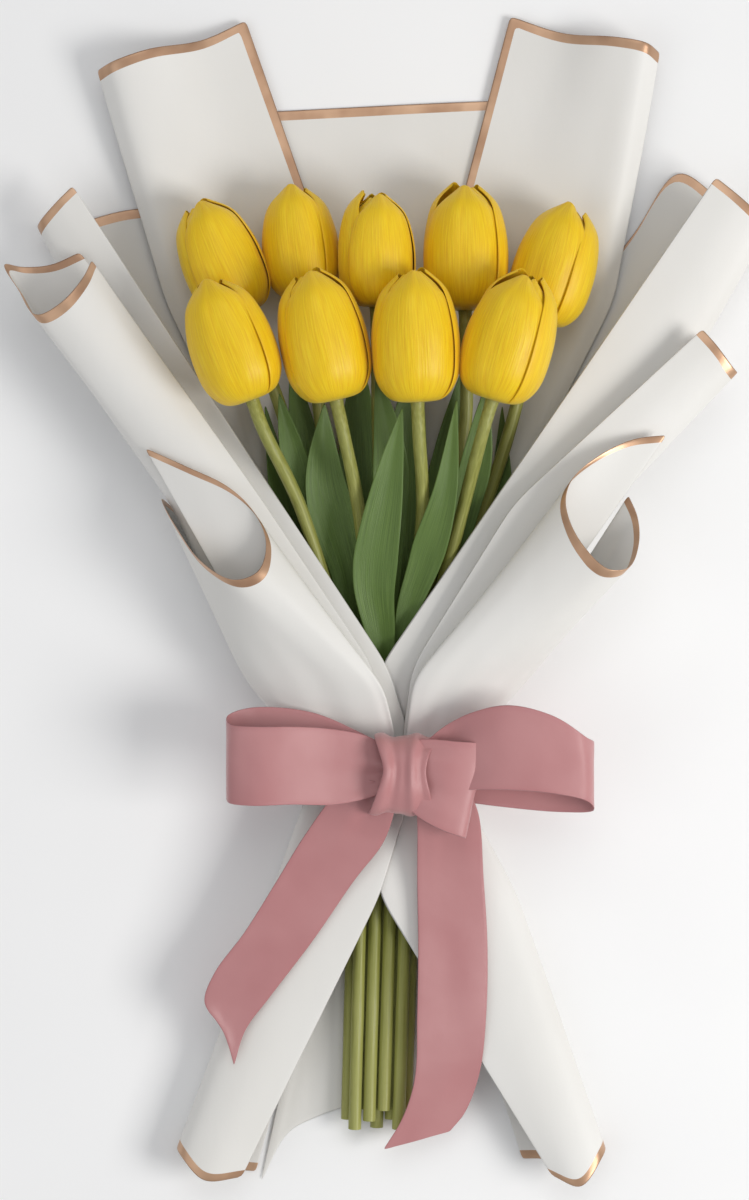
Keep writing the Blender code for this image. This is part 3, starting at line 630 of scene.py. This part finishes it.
def tulip_stem(name, tulip, number, paint):
    place = bloom_frame(tulip)
    axis = place.to_3x3() @ Vector((0, 0, 1))
    foot = place.translation - axis * 0.3
    slot, row = tulip["slot"], ROW_HIGH if number < FRONT_TULIPS else ROW_LOW
    points = [
        (slot * 0.97 - 4, (-174, -170, -165)[number % 3], row - 2.2),
        (slot, -22, row),
        (slot, 16, row),
        foot - axis * 50 + Vector((tulip.get("bend", 0), -6, -0.37 * (foot.z - row))),
        foot - axis * 14,
        foot,
    ]
    path = curve_through(points, 9)
    radii = [STEM_RADIUS] * len(path)
    radii[-1], radii[-2] = STEM_RADIUS * 1.1, STEM_RADIUS * 1.04
    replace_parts(tube_piece(name, path, radii, 18, paint), f"tulip_{number + 1}_stem")


# A leaf: its middle line, its greatest half width, its turn about that line in degrees and
# the solid that it stands for; the leaves deep in the bunch stand for none.
LEAVES = [
    ([(-20.6, 0, 11), (-34.6, 60, 11), (-47.5, 117, 12), (-57, 171, 16)], 9, 20, "leaf_1"),
    ([(-11.4, 44, 14.9), (-17.4, 90, 20.6), (-28.6, 134, 29), (-28.6, 171, 36)], 11.5, 8,
     "leaf_2"),
    ([(0, 14, 17.7), (-2, 60, 29.5), (-5, 88, 38.5), (1, 130, 47), (8, 168, 52)], 11, -6,
     "leaf_3"),
    ([(7, 30, 21.4), (10, 70, 28.7), (19, 97, 36), (28, 128, 46), (33.5, 172, 50)], 8.5, -8,
     "leaf_4"),
    ([(22.4, 0, 11), (43, 60, 10.5), (55, 117, 9), (56, 171, 12)], 8, -12, "leaf_5"),
    ([(-24, 50, 8), (-30, 100, 8), (-38, 150, 9), (-45, 196, 10)], 9, 0, None),
    ([(-6, 52, 6.4), (-9, 100, 7), (-12, 150, 9), (-13, 200, 12)], 12, 0, None),
    ([(5, 52, 6.4), (8, 100, 7), (10, 150, 9), (16, 200, 12)], 12, 0, None),
    ([(21, 52, 7.4), (24, 100, 8), (32, 150, 9), (40, 196, 10)], 10, 0, None),
    ([(3, 70, 20), (3, 110, 26), (2, 150, 33), (-4, 186, 38)], 9, 0, None),
    ([(30, 80, 22), (37, 115, 22), (44, 150, 30), (47, 178, 36)], 8, 5, None),
    ([(-28, 84, 24), (-36, 120, 24), (-44, 150, 28), (-50, 176, 34)], 7, -5, None),
]


def leaf(number, line_points, half, lean, node, paint):
    line = curve_through(line_points, 9)
    grid, foot = [], []
    for i, p in enumerate(line):
        share = i / (len(line) - 1)
        ahead = (line[min(i + 1, len(line) - 1)] - line[max(i - 1, 0)]).normalized()
        flat = ahead.cross(Vector((0, 0, 1))).normalized()
        across = Matrix.Rotation(math.radians(lean), 3, ahead) @ flat
        rise = across.cross(ahead)
        grow = min(1.0, 0.3 + 1.25 * share)
        taper = 1 - max(0.0, (share - 0.5) / 0.5) ** 1.7 * 0.97
        wide = half * grow * taper
        row = []
        for k in range(13):
            s = k / 6 - 1
            crease = 0.22 * wide * (abs(s) ** 1.5) + 0.15 * math.sin(14 * share + 3 * s)
            row.append(p + across * wide * s + rise * crease)
        grid.append(row)
        foot.append([0.35 * share] * 13)
    piece = grid_piece(f"leaf_blade_{number + 1}", grid, LEAF, paint, {"foot": foot})
    if node:
        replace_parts(piece, node)


def flowers():
    petals = petal_paint()
    stems = green_paint("tulip_stem", (0.16, 0.17, 0.03), (0.26, 0.27, 0.055),
                        (0.40, 0.40, 0.13), 0.4, (6.0, 8.0, 1.0))
    leaves = green_paint("tulip_leaf", (0.035, 0.07, 0.012), (0.085, 0.15, 0.028),
                         (0.16, 0.25, 0.06), 0.42, (26.0, 1.2, 1.0))
    for number, tulip in enumerate(TULIPS):
        name = f"tulip_{number + 1}"
        for k in range(3):
            petal(f"{name}_outer_{k + 1}", tulip, k, 0.0, 1.0, petals, [f"{name}_petal_{k + 1}"])
            petal(f"{name}_inner_{k + 1}", tulip, k, INNER_GAP, INNER_REACH, petals,
                  [f"{name}_inner_petals"] if k == 0 else [])
        tulip_stem(f"{name}_cane", tulip, number, stems)
    for number, (line, half, lean, node) in enumerate(LEAVES):
        leaf(number, line, half, lean, node, leaves)


# -------------------------------------------------------------------------------- ribbon

BAND_FROM, BAND_TO = -18.0, 8.0
BAND = [(-12, 0.6), (12, 0.6), (31, 1.0), (43, 7.5), (45.4, 16), (43.8, 24.8), (35, 31.4),
        (15, 33.8), (-10, 33.8), (-35.5, 31.4), (-44, 24.8), (-45.4, 16), (-43, 7.5),
        (-31, 1.0), (-12, 0.6)]
# Each strip: the ribbon's upper and lower edge, pair by pair along its run.
STRIPS = {
    "left_loop": [
        ((4, 8, 50), (4, -10, 50)), ((-8, 15, 50), (-8, -14, 50)),
        ((-24, 18.5, 53), (-24, -17, 53)), ((-42, 20, 60), (-44, -16.5, 60)),
        ((-60, 20, 62), (-62, -17, 62)), ((-72, 21, 57), (-73, -16, 57)),
        ((-73.5, 25, 48), (-73.5, -13, 48)), ((-62, 28.4, 42.5), (-64, -10, 42.5)),
        ((-34, 26, 42), (-38, -12, 42)), ((-6, 14, 43), (-6, -12, 43)),
    ],
    "right_loop": [
        ((16, 10, 50), (16, -12, 50)), ((28, 20, 51), (26, -12, 50)),
        ((42, 27, 57), (38, -10, 55)), ((58, 30, 62), (54, -9.5, 61)),
        ((78, 25, 63), (76, -11, 63)), ((93, 15.5, 59), (94, -15, 59)),
        ((97, 12.5, 50), (97, -20, 50)), ((84, 14, 43), (82, -21, 43)),
        ((56, 18, 42), (54, -18.5, 42)), ((22, 12, 43), (22, -14, 43)),
    ],
    "front_fold": [
        ((6, 13, 52), (6, -14, 51)), ((20, 14, 56.5), (16, -23, 54.5)),
        ((34, 13, 59), (27, -29, 56)), ((45, 12, 57), (36.7, -32.4, 53)),
        ((46, 10, 53), (37.5, -32.6, 49)), ((34, 8, 49.5), (28, -26, 47)),
        ((18, 6, 48), (16, -18, 46)),
    ],
    "left_tail": [
        ((6, -8, 50), (-14, -4, 49)), ((4.5, -20, 46), (-25, -14, 45)),
        ((-1, -36, 38), (-38, -32, 38)), ((-14, -53, 33.5), (-52, -55, 33.5)),
        ((-33, -81, 30.5), (-67, -79, 30.5)), ((-55, -110, 28.8), (-81, -98, 28.5)),
        ((-66, -125, 27.8), (-85.5, -112, 27.5)), ((-71.5, -142, 27.2), (-76.5, -123, 27)),
    ],
    "right_tail": [
        ((14, -8, 50), (38, -8, 50)), ((15, -28, 43), (44, -22, 43)),
        ((15, -54, 34), (46.5, -52, 34)), ((15.5, -86, 30), (48.5, -84, 30)),
        ((15, -118, 27.5), (48, -118, 27)), ((14, -148, 24), (45, -146, 22)),
        ((8, -168, 20), (38, -166, 16)), ((-1, -183, 19), (31, -175, 14)),
    ],
}
KNOT = [
    ((-4, 13, 38), (24, 13, 38)), ((-5, 15.5, 45), (25, 15, 45)), ((-5, 14, 53), (24, 13, 53)),
    ((-3, 8, 58), (21, 8, 58)), ((-1, 0, 59.5), (19, -1, 59.5)), ((-4, -11, 58), (21, -12, 58)),
    ((-7, -19, 52.5), (23, -20, 52.5)), ((-8, -21, 45), (22, -22, 45)),
    ((-6, -19, 38), (20, -19, 38)),
]
BOW_CRIMP, KNOT_CRIMP = 1.3, 1.5  # depth of the folds at the knot


def strip_grid(pairs, across, crimp, seed):
    """The ribbon between its two edges, with soft folds where it runs into the knot."""
    upper = curve_through([p for p, _ in pairs], 7)
    lower = curve_through([q for _, q in pairs], 7)
    grid = [[a.lerp(b, k / across) for k in range(across + 1)] for a, b in zip(upper, lower)]
    normals = normals_of(grid)
    for j, row in enumerate(grid):
        for k, p in enumerate(row):
            t = k / across
            near = math.exp(-((p.x - 9) / 26) ** 2 - ((p.y + 2) / 30) ** 2)
            fold = math.sin(t * 11 + seed) + 0.5 * math.sin(t * 23 + 2 * seed)
            wave = 0.8 * noise.noise(Vector((j * 0.12, t * 2, seed)))
            row[k] = p + normals[j][k] * (crimp * fold * near + wave * (1 - near))
    return grid


def ribbon():
    satin = satin_paint()
    mesh = bpy.data.meshes.new("ribbon_bow_satin")
    shape = bmesh.new()
    grain = shape.loops.layers.uv.new("grain")
    rim_layer = shape.verts.layers.float.new("rim")

    def add(grid):
        made = [[shape.verts.new((p + TIE_AT) * MM) for p in row] for row in grid]
        rows, columns = len(grid), len(grid[0])
        for j in range(rows):
            for i in range(columns):
                made[j][i][rim_layer] = max(abs(2 * i / (columns - 1) - 1) * 8 - 7, 0.0)
        for j in range(rows - 1):
            for i in range(columns - 1):
                face = shape.faces.new((made[j][i], made[j][i + 1], made[j + 1][i + 1],
                                        made[j + 1][i]))
                face.smooth = True
                corners = ((i, j), (i + 1, j), (i + 1, j + 1), (i, j + 1))
                for loop, (a, b) in zip(face.loops, corners):
                    loop[grain].uv = (a / (columns - 1), b * 0.1)

    for seed, pairs in enumerate(STRIPS.values()):
        add(strip_grid(pairs, 12, BOW_CRIMP, seed * 2.1 + 0.5))
    add(strip_grid(KNOT, 14, KNOT_CRIMP, 4.0))
    turn = [(Vector((x, BAND_TO, z)), Vector((x, BAND_FROM, z))) for x, z in BAND]
    add(strip_grid(turn, 8, 0.0, 1.0))
    shape.to_mesh(mesh)
    shape.free()
    mesh.materials.append(satin)
    made = bpy.data.objects.new("ribbon_bow_satin", mesh)
    bpy.context.scene.collection.objects.link(made)
    shell = made.modifiers.new("thickness", "SOLIDIFY")
    shell.thickness = RIBBON * MM
    shell.offset = 0.0
    soft = made.modifiers.new("smooth", "SUBSURF")
    soft.levels = 1
    soft.render_levels = 1
    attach(made, BODY)
    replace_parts(made, "ribbon_bow")


# --------------------------------------------------------------------------------- stage


def light(name, place, aim, energy, size, colour=(1, 1, 1)):
    lamp = bpy.data.lights.new(name, "AREA")
    lamp.energy = energy
    lamp.size = size
    lamp.color = colour
    made = bpy.data.objects.new(name, lamp)
    made.location = place
    made.rotation_euler = (Vector(aim) - Vector(place)).to_track_quat("-Z", "Y").to_euler()
    bpy.context.scene.collection.objects.link(made)


def stage():
    bpy.ops.mesh.primitive_plane_add(size=8, location=(0, 0, -0.0006))
    floor = bpy.context.object
    floor.name = "floor"
    floor.data.materials.append(floor_paint())
    aim = (0, 0, 0.03)
    light("key", (1.25, -0.35, 1.15), aim, 17, 0.7, (1.0, 0.985, 0.96))
    light("fill", (-1.2, -0.5, 1.4), aim, 4, 1.4, (0.96, 0.98, 1.0))
    light("top", (0.1, 0.9, 1.7), aim, 5, 1.2)
    scene = bpy.context.scene
    world = bpy.data.worlds.new("studio")
    world.use_nodes = True
    world.node_tree.nodes["Background"].inputs[0].default_value = (0.97, 0.98, 1.0, 1.0)
    world.node_tree.nodes["Background"].inputs[1].default_value = 0.45
    scene.world = world
    scene.view_settings.view_transform = "Standard"


CAMERA_HEIGHT = 1.7
FOCUS_HEIGHT = 45.0  # the height at which the framing below is exact
FRAME_TALL = 562.0
FRAME_CENTRE = Vector((-5.0, 78.6, FOCUS_HEIGHT))


def camera():
    lens = bpy.data.cameras.new("camera")
    lens.sensor_fit = "VERTICAL"
    lens.sensor_height = 36.0
    lens.lens = 36.0 * CAMERA_HEIGHT / (FRAME_TALL * MM)
    made = bpy.data.objects.new("camera", lens)
    made.location = (FRAME_CENTRE + TIE_AT) * MM + Vector((0, 0, CAMERA_HEIGHT))
    bpy.context.scene.collection.objects.link(made)
    bpy.context.scene.camera = made


wrapping()
flowers()
ribbon()
stage()
camera()
